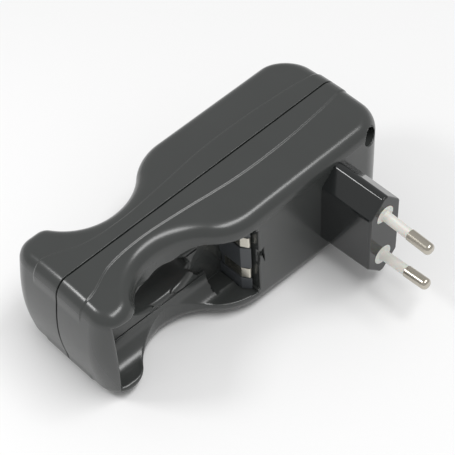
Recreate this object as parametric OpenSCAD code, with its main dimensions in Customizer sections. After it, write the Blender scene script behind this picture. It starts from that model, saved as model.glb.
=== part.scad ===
// Plug-in battery charger, lying on its side.
// Two moulded half shells meet at a flat seam. Each has a bay for two cells,
// a contact end towards the plug, and finger scoops cut across its side walls.
// Own axes: X runs from the bay end to the plug end with its zero at the plug,
// Y is the depth with its zero at the seam and the plug on the minus side,
// Z is the width with its zero in the middle plane.

/* [Body] */
// Distance from the plug axis to the bay end
end_reach = 96.6; // [93:0.5:104]
// Distance from the plug axis to the plug end
top_reach = 22.6; // [22:0.5:30]
// Depth of each half shell along the electronics
main_depth = 23.8; // [23:0.1:28]
// Depth of each half shell at the bay end
end_depth = 22.4; // [20:0.1:24]
// Depth of each half shell at the waist
waist_depth = 10.8; // [10.2:0.1:13]
// Half of the width at the plug axis
half_width = 23; // [22:0.1:27]
// Loss of half width for each millimetre towards the bay end
width_taper = 0.0322; // [0:0.001:0.04]
// Rounding of the long edges
edge_round = 5.2; // [4:0.5:7]
// Rounding of the plug end, seen from the side
top_round = 12; // [8:0.5:13]
// Rounding of the bay end, seen from the side
end_round = 8; // [5:0.5:9]
// Rounding of the bay end, seen along the depth
corner_round = 3; // [3:0.5:6]
// Bulge of the bay end for each square millimetre of width
end_bulge = 0.01; // [0:0.001:0.012]
// Wall of the shells round the electronics
wall = 2.4; // [2:0.1:3]

/* [Finger scoops] */
// Distance from the plug axis to the waist
waist_reach = 64.6; // [62:0.5:70]
// Radius of the scoop on its plug side
scoop_top_r = 20; // [16:0.5:24]
// Radius of the scoop on its bay end side
scoop_end_r = 20; // [14:0.5:22]
// Radius of the shoulder on the plug side
shoulder_top_r = 20; // [10:0.5:22]
// Radius of the shoulder on the bay end side
shoulder_end_r = 8; // [5:0.5:9]
// Extra roll of the long edges at the waist
waist_roll = 4; // [0:0.5:4]

/* [Style lines] */
// Height of the band along the seam over the side faces
band_height = 0.35; // [0.2:0.05:0.5]
// Width of the bevel at each side of the band
band_bevel = 0.4; // [0.3:0.05:0.6]
// Size of the bevel at the seam
seam_bevel = 0.35; // [0.2:0.05:0.5]

/* [Bays] */
// Diameter of one cell
cell_d = 14.5; // [14.2:0.1:15]
// Clearance round the cells
cell_gap = 0.15; // [0.1:0.05:0.4]
// Distance from the plug axis to the contact end of the bay
contact_reach = 38.2; // [36.5:0.1:39]
// Thickness of the bay end wall in the middle
end_wall = 5.8; // [5:0.1:7]
// Depth of the bay floor over the seam
floor_depth = 10.6; // [10:0.1:12]
// Distance of each floor groove from the middle plane
groove_z = 6.8; // [6.4:0.1:7.4]
// Width of the floor grooves
groove_w = 0.8; // [0.5:0.1:1.2]
// Length of the deeper recess in front of the contacts
recess_len = 7.8; // [6:0.1:10]
// Depth of the floor in that recess over the seam
recess_depth = 8.8; // [8:0.1:10]
// Radius of the half round notch in the floor's edge
notch_r = 8; // [6:0.1:8.4]

/* [Finger hole] */
// Half length of the oval hole through the waist
hole_a = 12.2; // [10:0.1:14]
// Half width of the oval hole
hole_b = 5.6; // [5:0.1:6.4]
// Shift of the hole's middle towards the plug end
hole_shift = 0.6; // [-1:0.1:2]
// Thickness of the collar round the hole
collar_t = 1.6; // [1.4:0.1:2]
// Depth over the seam at which the hole starts to flare
flare_depth = 8; // [7.4:0.1:9]
// Widening of the hole at the bay floor
flare_out = 1; // [0.5:0.1:1.1]

/* [Plug] */
// Height of the plug block over the rear face
block_h = 20.5; // [18:0.1:22]
// Half of the block's width along the body
block_x = 6.85; // [6.4:0.05:7.2]
// Half of the block's length across the body
block_z = 17.5; // [17:0.1:18]
// Cut corners of the block
block_cut = 6; // [4:0.1:6.2]
// Growth of the block from its face to its foot
block_draft = 0.35; // [0:0.05:0.8]
// Thickness of the block's inner flange
flange_t = 1.5; // [1:0.1:2]
// Overhang of the block's inner flange
flange_out = 1.8; // [1:0.1:2.5]
// Clearance of the block in its window
block_gap = 0.15; // [0.1:0.05:0.3]
// Diameter of the pins
pin_d = 4; // [3.9:0.05:4.8]
// Diameter of the pin inside its sleeve
pin_core_d = 3; // [2.6:0.1:3.2]
// Length of the pins over the block's face
pin_len = 19.2; // [18:0.1:20]
// Diameter of the sleeve, a little under the pin's
sleeve_d = 3.6; // [3.4:0.05:3.65]
// Length of the sleeve over the block's face
sleeve_len = 10.2; // [9:0.1:11]
// Diameter of the flange at the sleeve's foot
sleeve_flange_d = 7.2; // [6:0.1:8]
// Distance between the pins at the block's face
pin_pitch = 18.6; // [18:0.1:19.2]
// Distance between the pins at their tips
pin_pitch_tip = 17.5; // [17:0.1:18.6]

/* [Contacts] */
// Thickness of the contact strips
strip_t = 0.4; // [0.3:0.05:0.5]
// Width of the contact strips
strip_w = 4.2; // [3.6:0.1:5]
// Thickness of the contact holders
holder_t = 2.4; // [2.4:0.1:3]
// Half width of the contact holders
holder_z = 15.2; // [15:0.1:15.6]
// Width of the slot behind the contact holders
slot_w = 0.9; // [0.7:0.1:1.2]
// Half length of that slot
slot_z = 14; // [13:0.1:14.4]
// Thickness of the wall between bay and electronics
divider = 2; // [1.6:0.1:2.4]
// Clearance of small pieces in their seats
seat_gap = 0.1; // [0.05:0.05:0.2]
// Rise of the slanted lead-in at the top of the contacts
lead_in = 2.6; // [2:0.1:3]
// Distance of the lead-in's top below the rear face
lead_drop = 2.6; // [2:0.1:4]

/* [Screws] */
// Distance from the plug axis to the screws
screw_x = 15; // [13:0.1:16]
// Distance of the screws from the middle plane
screw_z = 17; // [16:0.1:17.5]
// Diameter of the screw wells in the rear shell
well_d = 6.4; // [6:0.1:6.8]
// Diameter of the screw heads
head_d = 5.6; // [5:0.1:5.8]
// Distance of the screw wells' floor from the seam
screw_floor = 5; // [4:0.5:7]
// Diameter of the screws
screw_d = 2.9; // [2.5:0.1:3]
// Length of the screws under their heads
screw_len = 16; // [10:0.5:18]

/* [Electronics] */
// Thickness of the circuit board
board_t = 1.6; // [1.2:0.1:2]
// Distance from the plug axis to the board's edge by the plug end
board_top = 9.5; // [7:0.5:9.5]
// Half width of the board
board_z = 17.5; // [16:0.1:18]
// Diameter of the board's posts
post_d = 5; // [4:0.1:6]
// Distance from the plug axis to the board's edge by the contacts
board_far = 30; // [29:0.5:31]
// Place of the board's posts by the contacts, along the body
post_far_x = -25; // [-26:0.5:-20]
// Place of the board's posts by the plug end, along the body
post_near_x = 5; // [2:0.5:6]
// Distance of the board's posts from the middle plane
post_z = 14.5; // [13:0.1:15]
// Distance of the return wires from the middle plane
wire_z = 9; // [8.6:0.1:9.4]
// Height of the transformer core over the board
core_h = 13; // [11:0.5:14]
// Length of the transformer core across the body
core_l = 18; // [14:0.5:20]
// Thickness of the transformer core along the body
core_t = 6; // [5:0.5:8]
// Thickness of the core's middle leg
core_leg = 4; // [3:0.5:5]
// Diameter of the return wires
wire_d = 1.2; // [1:0.1:1.4]
// Diameter of the mains leads
lead_d = 1.8; // [1.4:0.1:2.2]

/* [Hidden] */
$fn = 48;

eps = 0.01;
through = 80;
end_x = -end_reach;
top_x = top_reach;
waist_x = -waist_reach;
contact_x = -contact_reach;
bay_end_x = end_x + end_wall;
board_x0 = -board_far;
tilt = -atan(width_taper);

// Scoop: a valley arc and a shoulder arc on each side, tangent to each other.
function arc_run(rise, radii) = sqrt(rise * (2 * radii - rise));
function sag(r, u) = r - sqrt(max(0, r * r - u * u));
end_run = arc_run(end_depth - waist_depth, scoop_end_r + shoulder_end_r);
top_run = arc_run(main_depth - waist_depth, scoop_top_r + shoulder_top_r);
end_knee = waist_x - end_run;
top_knee = waist_x + top_run;
end_join = waist_x - end_run * scoop_end_r / (scoop_end_r + shoulder_end_r);
top_join = waist_x + top_run * scoop_top_r / (scoop_top_r + shoulder_top_r);
function depth_at(x) =
    x < end_x + end_round ? end_depth - sag(end_round, end_x + end_round - x)
    : x < end_knee ? end_depth
    : x < end_join ? end_depth - sag(shoulder_end_r, x - end_knee)
    : x < waist_x ? waist_depth + sag(scoop_end_r, waist_x - x)
    : x < top_join ? waist_depth + sag(scoop_top_r, x - waist_x)
    : x < top_knee ? main_depth - sag(shoulder_top_r, top_knee - x)
    : x < top_x - top_round ? main_depth
    : main_depth - sag(top_round, x - top_x + top_round);

// Width: a straight taper, rounded in at both ends.
function side_at(x) = half_width + width_taper * x;
function end_inset(x) = sag(corner_round, max(0, end_x + corner_round - x))
    + sag(edge_round, max(0, x - top_x + edge_round));
function width_at(x) = side_at(x) - end_inset(x);
function waist_share(x) = x > end_knee && x < top_knee
    ? max(0, (main_depth - depth_at(x)) / (main_depth - waist_depth)) : 0;

// Style line: its distance from the seam along the body, as a smooth curve.
style_keys = [[-1.02, 10.6], [-0.93, 10.6], [-0.82, 6.2], [-0.68, 4.9], [-0.52, 6], [-0.3, 8.3],
    [-0.1, 8.5], [0.1, 7.2], [0.26, 5.4]];
function key_slope(k) = k == 0 || k == len(style_keys) - 1 ? 0
    : (style_keys[k + 1][1] - style_keys[k - 1][1]) / (style_keys[k + 1][0] - style_keys[k - 1][0]);
function hermite(a, b, ma, mb, w, t) = (2 * pow(t, 3) - 3 * t * t + 1) * a
    + (pow(t, 3) - 2 * t * t + t) * w * ma + (3 * t * t - 2 * pow(t, 3)) * b
    + (pow(t, 3) - t * t) * w * mb;
function style_from(u, k) = u > style_keys[k + 1][0] && k < len(style_keys) - 2 ? style_from(u, k + 1)
    : hermite(style_keys[k][1], style_keys[k + 1][1], key_slope(k), key_slope(k + 1),
        style_keys[k + 1][0] - style_keys[k][0],
        min(1, (u - style_keys[k][0]) / (style_keys[k + 1][0] - style_keys[k][0])));
function style_at(x) = style_from(x / end_reach, 0);

// One cross-section of a half shell, from its upper lip round the face to its lower lip.
// Each point is its distance from the seam and from the middle plane; the lip runs on past the seam.
corner_steps = 7;
lip = 1;
function corner_y(x) = max(0.8, min(edge_round - end_inset(x), depth_at(x) - style_at(x) - 0.2));
function corner_z(x) = max(0.8, edge_round - end_inset(x)) + waist_roll * waist_share(x);
function corner_point(x, a) =
    [depth_at(x) - corner_y(x) * (1 - sin(a)), width_at(x) - corner_z(x) * (1 - cos(a))];
function upper_half(x) = concat(
    [[-lip, width_at(x) + band_height - seam_bevel - lip], [seam_bevel, width_at(x) + band_height],
        [style_at(x) - band_bevel, width_at(x) + band_height], [style_at(x), width_at(x)]],
    [for (k = [0:corner_steps]) corner_point(x, 90 * k / corner_steps)],
    [[depth_at(x), (width_at(x) - corner_z(x)) / 2]]);
function section(x) = let (u = upper_half(x))
    concat(u, [[depth_at(x), 0]], [for (k = [len(u) - 1:-1:0]) [u[k][0], -u[k][1]]]);

// The bay end bulges: its points move in with the square of their distance from the middle plane.
bulge_span = 11;
function bulge_at(x, z) = end_bulge * z * z * max(0, min(1, (end_x + bulge_span - x) / bulge_span));
function spread(a, b, n) = [for (k = [0:n - 1]) a + (b - a) * k / n];
function round_in(x0, r, n) = [for (k = [0:n - 1]) x0 + r * (1 - cos(90 * k / n))];
stations = concat(round_in(end_x, end_round, 6), spread(end_x + end_round, end_knee, 3),
    spread(end_knee, end_join, 4), spread(end_join, waist_x, 7), spread(waist_x, top_join, 6),
    spread(top_join, top_knee, 5), spread(top_knee, top_x - top_round, 7),
    [for (k = [0:8]) top_x - top_round * (1 - sin(90 * k / 8))]);

// Solid half of the body on the plus Y side of the seam, with its bevelled lip.
module half_body() {
    n = len(section(0));
    m = len(stations);
    first = 4;
    last = n - 5;
    count = last - first + 1;
    back = seam_bevel + lip;
    function kept(x, k) = k == 0 || k == n - 1 ? max(end_x + back, min(top_x - back, x)) : x;
    skin = [for (x = stations) let (s = section(x)) for (k = [0:n - 1])
        [kept(x, k) + bulge_at(x, s[k][1]), s[k][0], s[k][1]]];
    // Rungs of both end faces: a row at the bevel and a row in the seam plane.
    end_row = [for (k = [first:last]) skin[k]];
    top_row = [for (k = [first:last]) skin[(m - 1) * n + k]];
    rungs = concat(
        [for (p = end_row) [p[0], seam_bevel, p[2] * 0.99]],
        [for (p = end_row) [p[0] + back, -lip, p[2] * 0.9]],
        [for (p = top_row) [p[0], seam_bevel, p[2] * 0.99]],
        [for (p = top_row) [p[0] - back, -lip, p[2] * 0.9]]);
    base = len(skin);
    function rung(row, k) = base + row * count + k - first;
    walls = [for (i = [0:m - 2]) for (k = [0:n - 2]) each [
        [i * n + k, (i + 1) * n + k, (i + 1) * n + k + 1],
        [i * n + k, (i + 1) * n + k + 1, i * n + k + 1]]];
    function cap(o, row) = concat(
        [[o, o + 1, rung(row + 1, first)], [o + 1, rung(row, first), rung(row + 1, first)]],
        [for (k = [1:first - 1]) [o + k, o + k + 1, rung(row, first)]],
        [for (k = [first:last - 1]) each [
            [o + k, o + k + 1, rung(row, k + 1)], [o + k, rung(row, k + 1), rung(row, k)],
            [rung(row, k), rung(row, k + 1), rung(row + 1, k + 1)],
            [rung(row, k), rung(row + 1, k + 1), rung(row + 1, k)]]],
        [for (k = [last:n - 3]) [o + k, o + k + 1, rung(row, last)]],
        [[o + n - 2, rung(row + 1, last), rung(row, last)], [o + n - 2, o + n - 1, rung(row + 1, last)]]);
    function turned(list) = [for (f = list) [for (k = [len(f) - 1:-1:0]) f[k]]];
    // Underside: strips between stations, closed by a fan at each end
    e = 4;
    t = m - 5;
    end_ring = concat([for (i = [e - 1:-1:0]) i * n], [for (k = [first:last]) rung(1, k)],
        [for (i = [0:e]) i * n + n - 1]);
    top_ring = concat([for (i = [t + 1:m - 1]) i * n], [for (k = [first:last]) rung(3, k)],
        [for (i = [m - 1:-1:t]) i * n + n - 1]);
    seam = concat(
        [for (k = [0:len(end_ring) - 2]) [e * n, end_ring[k], end_ring[k + 1]]],
        [for (i = [e:t - 1]) each [[i * n, i * n + n - 1, (i + 1) * n + n - 1],
            [i * n, (i + 1) * n + n - 1, (i + 1) * n]]],
        [for (k = [0:len(top_ring) - 2]) [t * n, top_ring[k + 1], top_ring[k]]]);
    difference() {
        polyhedron(points = concat(skin, rungs),
            faces = turned(concat(walls, cap(0, 0), turned(cap((m - 1) * n, 2)), seam)), convexity = 8);
        block([-through * 2, through], [-lip - 1, 0], [-through, through]);
    }
}

// Prisms along the three axes.
module along_y(a, b) {
    translate([0, b, 0])
        rotate([90, 0, 0])
            linear_extrude(height = b - a)
                children();
}
module along_x(a, b) {
    translate([a, 0, 0])
        rotate([90, 0, 90])
            linear_extrude(height = b - a)
                children();
}
module along_z(a, b) {
    translate([0, 0, a])
        linear_extrude(height = b - a)
            children();
}
module rod_y(r, a, b) {
    translate([0, a, 0])
        rotate([-90, 0, 0])
            cylinder(r = r, h = b - a);
}
module block(x, y, z) {
    translate([x[0], y[0], z[0]])
        cube([x[1] - x[0], y[1] - y[0], z[1] - z[0]]);
}
module both_z() {
    children();
    mirror([0, 0, 1])
        children();
}

// Cavity round the electronics
cavity_x = contact_x + holder_t + slot_w + divider;
cavity_top = top_x - wall;
cavity_y = main_depth - wall;
cavity_cut = 4;
module electronics_cavity() {
    intersection() {
        along_y(-1, main_depth - wall)
            polygon([[cavity_x, side_at(cavity_x) - wall],
                [cavity_top - cavity_cut, side_at(top_x) - wall],
                [cavity_top, side_at(top_x) - wall - cavity_cut],
                [cavity_top, -side_at(top_x) + wall + cavity_cut],
                [cavity_top - cavity_cut, -side_at(top_x) + wall],
                [cavity_x, -side_at(cavity_x) + wall]]);
        along_x(cavity_x - 1, top_x)
            polygon([[-1, -through], [cavity_y - cavity_cut, -through],
                [cavity_y - cavity_cut, -side_at(0) + wall + 0.6],
                [cavity_y, -side_at(0) + wall + cavity_cut],
                [cavity_y, side_at(0) - wall - cavity_cut],
                [cavity_y - cavity_cut, side_at(0) - wall - 0.6],
                [cavity_y - cavity_cut, through], [-1, through]]);
        along_z(-through, through)
            polygon([[cavity_x - 1, -1], [cavity_top, -1], [cavity_top, cavity_y - cavity_cut - 2],
                [cavity_top - cavity_cut - 2, cavity_y], [cavity_x - 1, cavity_y]]);
    }
}

// Hollow under both bays, with the collar of the finger hole left standing
hole_x = -(contact_reach + bay_end_reach()) / 2 + hole_shift;
function bay_end_reach() = end_reach - end_wall;
under_y = recess_depth - 1.6;
module oval(a, b, steps) {
    polygon([for (k = [0:steps - 1]) let (t = 360 * k / steps) [hole_x + a * cos(t), b * sin(t)]]);
}
module waist_hollow() {
    difference() {
        along_y(-1, under_y)
            polygon([[bay_end_x - 1, side_at(bay_end_x) - 5], [cavity_x + 1, side_at(cavity_x) - 5],
                [cavity_x + 1, -side_at(cavity_x) + 5], [bay_end_x - 1, -side_at(bay_end_x) + 5]]);
        along_y(-2, through)
            oval(hole_a + collar_t, hole_b + collar_t, 64);
        both_z()
            translate([hole_x, 0, wire_z])
                block([-1, 1], [wire_d / 2 + seat_gap, through], [-1, 1]);
        both_z()
            block([bay_end_x - 2, bay_end_x - 0.1], [wire_d / 2 + seat_gap, through],
                [wire_z - 1, wire_z + 1]);
    }
}

// Bay for two cells, the deeper recess at its contact end, and the finger hole
cell_z = (cell_d + cell_gap) / 2;
cradle_r = cell_d / 2 + cell_gap;
bay_z = cell_z + cradle_r;
slot_x = contact_x + holder_t + slot_w;
module bay() {
    block([bay_end_x, contact_x], [floor_depth, through], [-cell_z, cell_z]);
    both_z()
        translate([0, floor_depth + cradle_r, cell_z])
            rotate([0, 90, 0])
                translate([0, 0, bay_end_x])
                    cylinder(r = cradle_r, h = contact_x - bay_end_x, $fn = 64);
    block([bay_end_x, contact_x], [floor_depth + cradle_r, through], [-bay_z, bay_z]);
    // Grooves along the cradles
    both_z()
        block([bay_end_x + 1, contact_x], [floor_depth - groove_w * 0.7, floor_depth + 1],
            [groove_z - groove_w / 2, groove_z + groove_w / 2]);
    // Recess
    block([contact_x - recess_len, slot_x - slot_w], [recess_depth, through], [-bay_z + 0.6, bay_z - 0.6]);
    intersection() {
        translate([contact_x - recess_len + 2.3, 0, 0])
            rod_y(notch_r, recess_depth, floor_depth + 1);
        block([-through, contact_x], [0, through], [-groove_z, groove_z]);
    }
    // Seat of the contact holder and the slot behind it
    block([contact_x - seat_gap, contact_x + holder_t + seat_gap], [recess_depth, through],
        [-holder_z - seat_gap, holder_z + seat_gap]);
    block([contact_x, slot_x], [recess_depth, through], [-slot_z, slot_z]);
    both_z() {
        // Slots that the contact strips pass through
        block([slot_x - slot_w - 0.2, slot_x], [under_y - 1, recess_depth + 1],
            [cell_z - strip_w / 2 - seat_gap, cell_z + strip_w / 2 + seat_gap]);
        block([bay_end_x, bay_end_x + 1], [under_y - 1, floor_depth + 4],
            [cell_z - strip_w / 2 - seat_gap, cell_z + strip_w / 2 + seat_gap]);
    }
}
flare_steps = 4;
module finger_hole() {
    along_y(-1, flare_depth + eps)
        oval(hole_a, hole_b, 64);
    levels = [for (k = [0:flare_steps]) let (a = 90 * k / flare_steps)
        [flare_depth + (floor_depth - flare_depth) * sin(a), flare_out * (1 - cos(a))]];
    n = 64;
    rows = concat(levels, [[floor_depth + 0.5, flare_out]]);
    polyhedron(points = [for (r = rows) for (k = [0:n - 1]) let (t = 360 * k / n)
            [hole_x + (hole_a + r[1] * 0.7) * cos(t), r[0], (hole_b + r[1]) * sin(t)]],
        faces = concat([[for (k = [n - 1:-1:0]) k]],
            [for (i = [0:len(rows) - 2]) for (k = [0:n - 1]) let (j = (k + 1) % n) each [
                [i * n + k, i * n + j, (i + 1) * n + j], [i * n + k, (i + 1) * n + j, (i + 1) * n + k]]],
            [[for (k = [0:n - 1]) (len(rows) - 1) * n + k]]));
}

// Posts that hold the board: the front shell has a pair at each end, the rear one only by the divider
module posts(gap, places) {
    both_z()
        for (x = places)
            translate([x, 0, post_z])
                rod_y(post_d / 2, board_t / 2 + gap, main_depth - wall + 1);
}

module half_shell() {
    difference() {
        half_body();
        electronics_cavity();
        waist_hollow();
        bay();
        finger_hole();
    }
}

// Octagon of the plug block
module octagon(grow) {
    x = block_x + grow;
    z = block_z + grow;
    c = block_cut + grow * 0.6;
    polygon([[x, z - c], [x - c, z], [-x + c, z], [-x, z - c],
        [-x, -z + c], [-x + c, -z], [x - c, -z], [x, -z + c]]);
}
face_y = -main_depth - block_h;
flange_y = -main_depth + wall;

well_floor = screw_floor;
module rear_shell() {
    color("#2b2d2f")
        difference() {
            union() {
                difference() {
                    mirror([0, 1, 0])
                        half_shell();
                    along_y(-main_depth - 1, 0)
                        octagon(block_draft + block_gap);
                    along_y(flange_y, 0)
                        octagon(block_draft + flange_out + block_gap);
                }
                mirror([0, 1, 0])
                    posts(seat_gap, [post_far_x]);
                both_z()
                    translate([screw_x, 0, screw_z])
                        rod_y(well_d / 2 + 1.5, -main_depth + wall - 1, 0);
            }
            both_z()
                translate([screw_x, 0, screw_z]) {
                    rod_y(well_d / 2, -main_depth - 1, -well_floor);
                    rod_y(screw_d / 2 + 0.1, -main_depth, 1);
                }
            latch_notch();
            latch_mark();
            // Trim of the bosses where they would stand through the rounded side
            difference() {
                block([screw_x - 8, top_x + 5], [-main_depth - 1, 1], [-through, through]);
                mirror([0, 1, 0])
                    half_body();
                block([screw_x - 8, top_x + 5], [-main_depth - 1, 1], [-8, 8]);
            }
        }
}
// Hooked notch in the rear face by the contacts
module latch_notch() {
    d = 1.2;
    along_y(-main_depth - 1, -main_depth + d)
        polygon([[slot_x - 0.5, 5.2], [slot_x + 0.9, 3.9], [slot_x + 2.2, 4.9], [slot_x + 2.3, -1.9],
            [slot_x + 1.4, 1.6], [slot_x + 0.5, 1.6], [slot_x + 0.1, -2.2], [slot_x - 0.5, -2.4]]);
}
// Shallow half ring beside it
module latch_mark() {
    d = 0.15;
    difference() {
        translate([slot_x, 0, -0.7])
            rod_y(6.1, -main_depth - 1, -main_depth + d);
        translate([slot_x, 0, -0.7])
            rod_y(5.7, -main_depth - 2, -main_depth + d + 1);
        block([slot_x - 10, slot_x + 1], [-main_depth - 2, 0], [-10, 10]);
    }
}
module front_shell() {
    color("#2b2d2f")
        difference() {
            union() {
                half_shell();
                posts(0, [post_far_x, post_near_x]);
                intersection() {
                    both_z()
                        translate([screw_x, 0, screw_z])
                            rod_y(well_d / 2 + 0.8, 0, main_depth - wall + 1);
                    half_body();
                }
            }
            both_z()
                translate([screw_x, 0, screw_z])
                    rod_y(screw_d / 2 + 0.02, -1, screw_len - well_floor + 0.5);
        }
}

// Plug: an octagonal block with an inner flange, and pins that lean towards each other
pin_lean = atan((pin_pitch - pin_pitch_tip) / 2 / pin_len);
module pin_frame(side) {
    translate([0, face_y, side * pin_pitch / 2])
        rotate([side * pin_lean, 0, 0])
            rotate([90, 0, 0])
                children();
}
sleeve_in = 3;
pin_in = block_h + flange_y - (-main_depth) + flange_t + 2;
module plug_block() {
    color("#242628")
        difference() {
            union() {
                hull() {
                    along_y(face_y, face_y + eps)
                        octagon(-edge_ease);
                    along_y(face_y + edge_ease, face_y + edge_ease + eps)
                        octagon(0);
                    along_y(-main_depth, flange_y + eps)
                        octagon(block_draft);
                }
                along_y(flange_y + eps, flange_y + flange_t)
                    octagon(block_draft + flange_out);
            }
            for (side = [-1, 1])
                pin_frame(side) {
                    translate([0, 0, -sleeve_in])
                        cylinder(d = sleeve_d + fit_gap, h = sleeve_in + 1);
                    translate([0, 0, -sleeve_flange_t])
                        cylinder(d = sleeve_flange_d + fit_gap, h = sleeve_flange_t + 1);
                    translate([0, 0, -pin_in - 5])
                        cylinder(d = pin_core_d + fit_gap, h = pin_in + 5);
                }
        }
}
edge_ease = 0.5;
fit_gap = 0.04;
sleeve_flange_t = 0.6;
sleeve_bore = pin_core_d + fit_gap;
module pin(side) {
    color("#c9c6bd")
        pin_frame(side)
            rotate_extrude()
                polygon(concat([[0, -pin_in], [pin_core_d / 2, -pin_in],
                    [pin_core_d / 2, sleeve_len + fit_gap], [pin_d / 2, sleeve_len + fit_gap]],
                    [for (k = [0:8]) let (a = 90 * k / 8)
                        [0.8 + (pin_d / 2 - 0.8) * cos(a), pin_len - 1.4 * (1 - sin(a))]],
                    [[0, pin_len]]));
}
module sleeve(side) {
    color("#ecebe6")
        pin_frame(side)
            rotate_extrude()
                polygon([[sleeve_bore / 2, -sleeve_in], [sleeve_d / 2, -sleeve_in],
                    [sleeve_d / 2, -sleeve_flange_t], [sleeve_flange_d / 2, -sleeve_flange_t],
                    [sleeve_flange_d / 2, 0.1], [sleeve_d / 2, 0.3],
                    [sleeve_d / 2, sleeve_len], [sleeve_bore / 2, sleeve_len]]);
}
module pin_upper() {
    pin(1);
}
module pin_lower() {
    pin(-1);
}
module sleeve_upper() {
    sleeve(1);
}
module sleeve_lower() {
    sleeve(-1);
}

// Contact holder: a bar across the bay with a slanted top and a channel for each strip
holder_top = main_depth - lead_drop;
channel_t = 0.7;
module holder_profile() {
    polygon([[contact_x, recess_depth], [contact_x + holder_t, recess_depth],
        [contact_x + holder_t, holder_top], [contact_x + holder_t - 0.3, holder_top],
        [contact_x, holder_top - lead_in]]);
}
module channel_profile() {
    polygon([[contact_x - 1, recess_depth - 1], [contact_x + channel_t, recess_depth - 1],
        [contact_x + channel_t, holder_top - lead_in - channel_t * 0.4],
        [contact_x + holder_t - 0.5, holder_top - channel_t],
        [contact_x + holder_t + 1, holder_top - channel_t], [contact_x + holder_t + 1, holder_top + 1],
        [contact_x - 1, holder_top + 1]]);
}
module contact_holder() {
    color("#7d7f80")
        difference() {
            along_z(-holder_z, holder_z)
                holder_profile();
            for (s = [-1, 1])
                along_z(s * cell_z - strip_w / 2 - 0.5, s * cell_z + strip_w / 2 + 0.5)
                    channel_profile();
        }
}
module rear_contact_holder() {
    mirror([0, 1, 0])
        contact_holder();
}
module front_contact_holder() {
    contact_holder();
}

// Flat strip bent along a path in the plane of X and Y
function unit(v) = v / norm(v);
function normal(a, b) = let (d = unit(b - a)) [-d[1], d[0]];
function side_points(p, t) = [for (k = [0:len(p) - 1])
    let (n1 = k == 0 ? normal(p[0], p[1]) : normal(p[k - 1], p[k]),
        n2 = k == len(p) - 1 ? n1 : normal(p[k], p[k + 1]))
        p[k] + (n1 + n2) * t / (1 + n1 * n2)];
module ribbon(path, t, w) {
    left = side_points(path, t);
    along_z(-w / 2, w / 2)
        polygon(concat(path, [for (k = [len(left) - 1:-1:0]) left[k]]));
}
// The plus contact lies in its channel, folds over the holder and runs down to the board.
strip_lift = 0.02;
foot_y = board_t / 2 + strip_lift;
module plus_contact() {
    color("#d8d5cb")
        ribbon([[contact_x + channel_t - strip_lift, recess_depth + 2],
            [contact_x + channel_t - strip_lift, holder_top - lead_in - channel_t * 0.4 + strip_lift * 2],
            [contact_x + holder_t - 0.5, holder_top - channel_t + strip_lift],
            [contact_x + holder_t + strip_lift, holder_top - channel_t + strip_lift],
            [contact_x + holder_t + strip_lift, foot_y], [board_x0 + 4, foot_y]], strip_t, strip_w);
}
// The end contact springs off the bay's end wall and stands on the return wire.
base_y = wire_d / 2 + strip_lift;
module end_contact() {
    color("#d8d5cb")
        ribbon([[bay_end_x + 5, base_y], [bay_end_x + 0.1, base_y], [bay_end_x + 0.1, floor_depth + 2],
            [bay_end_x + 1.6, floor_depth + 6], [bay_end_x + 1.6, floor_depth + 8],
            [bay_end_x + 0.3, floor_depth + 10.4]], -strip_t, strip_w);
}
module at_cell(side) {
    translate([0, 0, side * cell_z])
        children();
}
module rear_plus_contact_upper() {
    at_cell(1)
        mirror([0, 1, 0])
            plus_contact();
}
module rear_plus_contact_lower() {
    at_cell(-1)
        mirror([0, 1, 0])
            plus_contact();
}
module front_plus_contact_upper() {
    at_cell(1)
        plus_contact();
}
module front_plus_contact_lower() {
    at_cell(-1)
        plus_contact();
}
module rear_end_contact_upper() {
    at_cell(1)
        mirror([0, 1, 0])
            end_contact();
}
module rear_end_contact_lower() {
    at_cell(-1)
        mirror([0, 1, 0])
            end_contact();
}
module front_end_contact_upper() {
    at_cell(1)
        end_contact();
}
module front_end_contact_lower() {
    at_cell(-1)
        end_contact();
}

// Return wires from the end contacts to notches in the board
module return_wire(side) {
    color("#7a2b25")
        translate([0, 0, side * wire_z])
            rotate([0, 90, 0])
                translate([0, 0, bay_end_x + 0.6])
                    cylinder(d = wire_d, h = board_x0 + 3 - bay_end_x - 0.6, $fn = 32);
}
module return_wire_upper() {
    return_wire(1);
}
module return_wire_lower() {
    return_wire(-1);
}

// Board and what stands on it
module circuit_board() {
    color("#2f5d3a")
        difference() {
            along_y(-board_t / 2, board_t / 2)
                polygon([[board_x0, board_z], [board_top, board_z], [board_top, -board_z],
                    [board_x0, -board_z]]);
            both_z()
                block([board_x0 - 1, board_x0 + 3.1], [-2, 2],
                    [wire_z - wire_d / 2 - seat_gap, wire_z + wire_d / 2 + seat_gap]);
        }
}
surface = board_t / 2;
core_x = board_x0 + 12;
window_z = core_l / 2 - core_leg / 2;
window_y = core_h / 2 - core_leg / 2;
module transformer_core() {
    color("#3a3b3d")
        translate([core_x, -surface - core_h / 2, 0])
            difference() {
                block([-core_t / 2, core_t / 2], [-core_h / 2, core_h / 2], [-core_l / 2, core_l / 2]);
                for (s = [-1, 1])
                    block([-core_t, core_t],
                        s > 0 ? [core_leg / 2, window_y] : [-window_y, -core_leg / 2],
                        [-window_z, window_z]);
            }
}
bobbin_gap = 0.15;
module transformer_bobbin() {
    color("#20211f")
        translate([core_x, -surface - core_h / 2, 0])
            difference() {
                union() {
                    block([-core_t / 2 - 1, core_t / 2 + 1], [-core_leg / 2 - 1, core_leg / 2 + 1],
                        [-window_z + 0.2, window_z - 0.2]);
                    both_z()
                        block([-core_t / 2 - 3.4, core_t / 2 + 3.4],
                            [-window_y + bobbin_gap, window_y - bobbin_gap],
                            [window_z - 1.2, window_z - 0.2]);
                }
                block([-core_t / 2 - bobbin_gap, core_t / 2 + bobbin_gap],
                    [-core_leg / 2 - bobbin_gap, core_leg / 2 + bobbin_gap], [-window_z, window_z]);
            }
}
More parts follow.
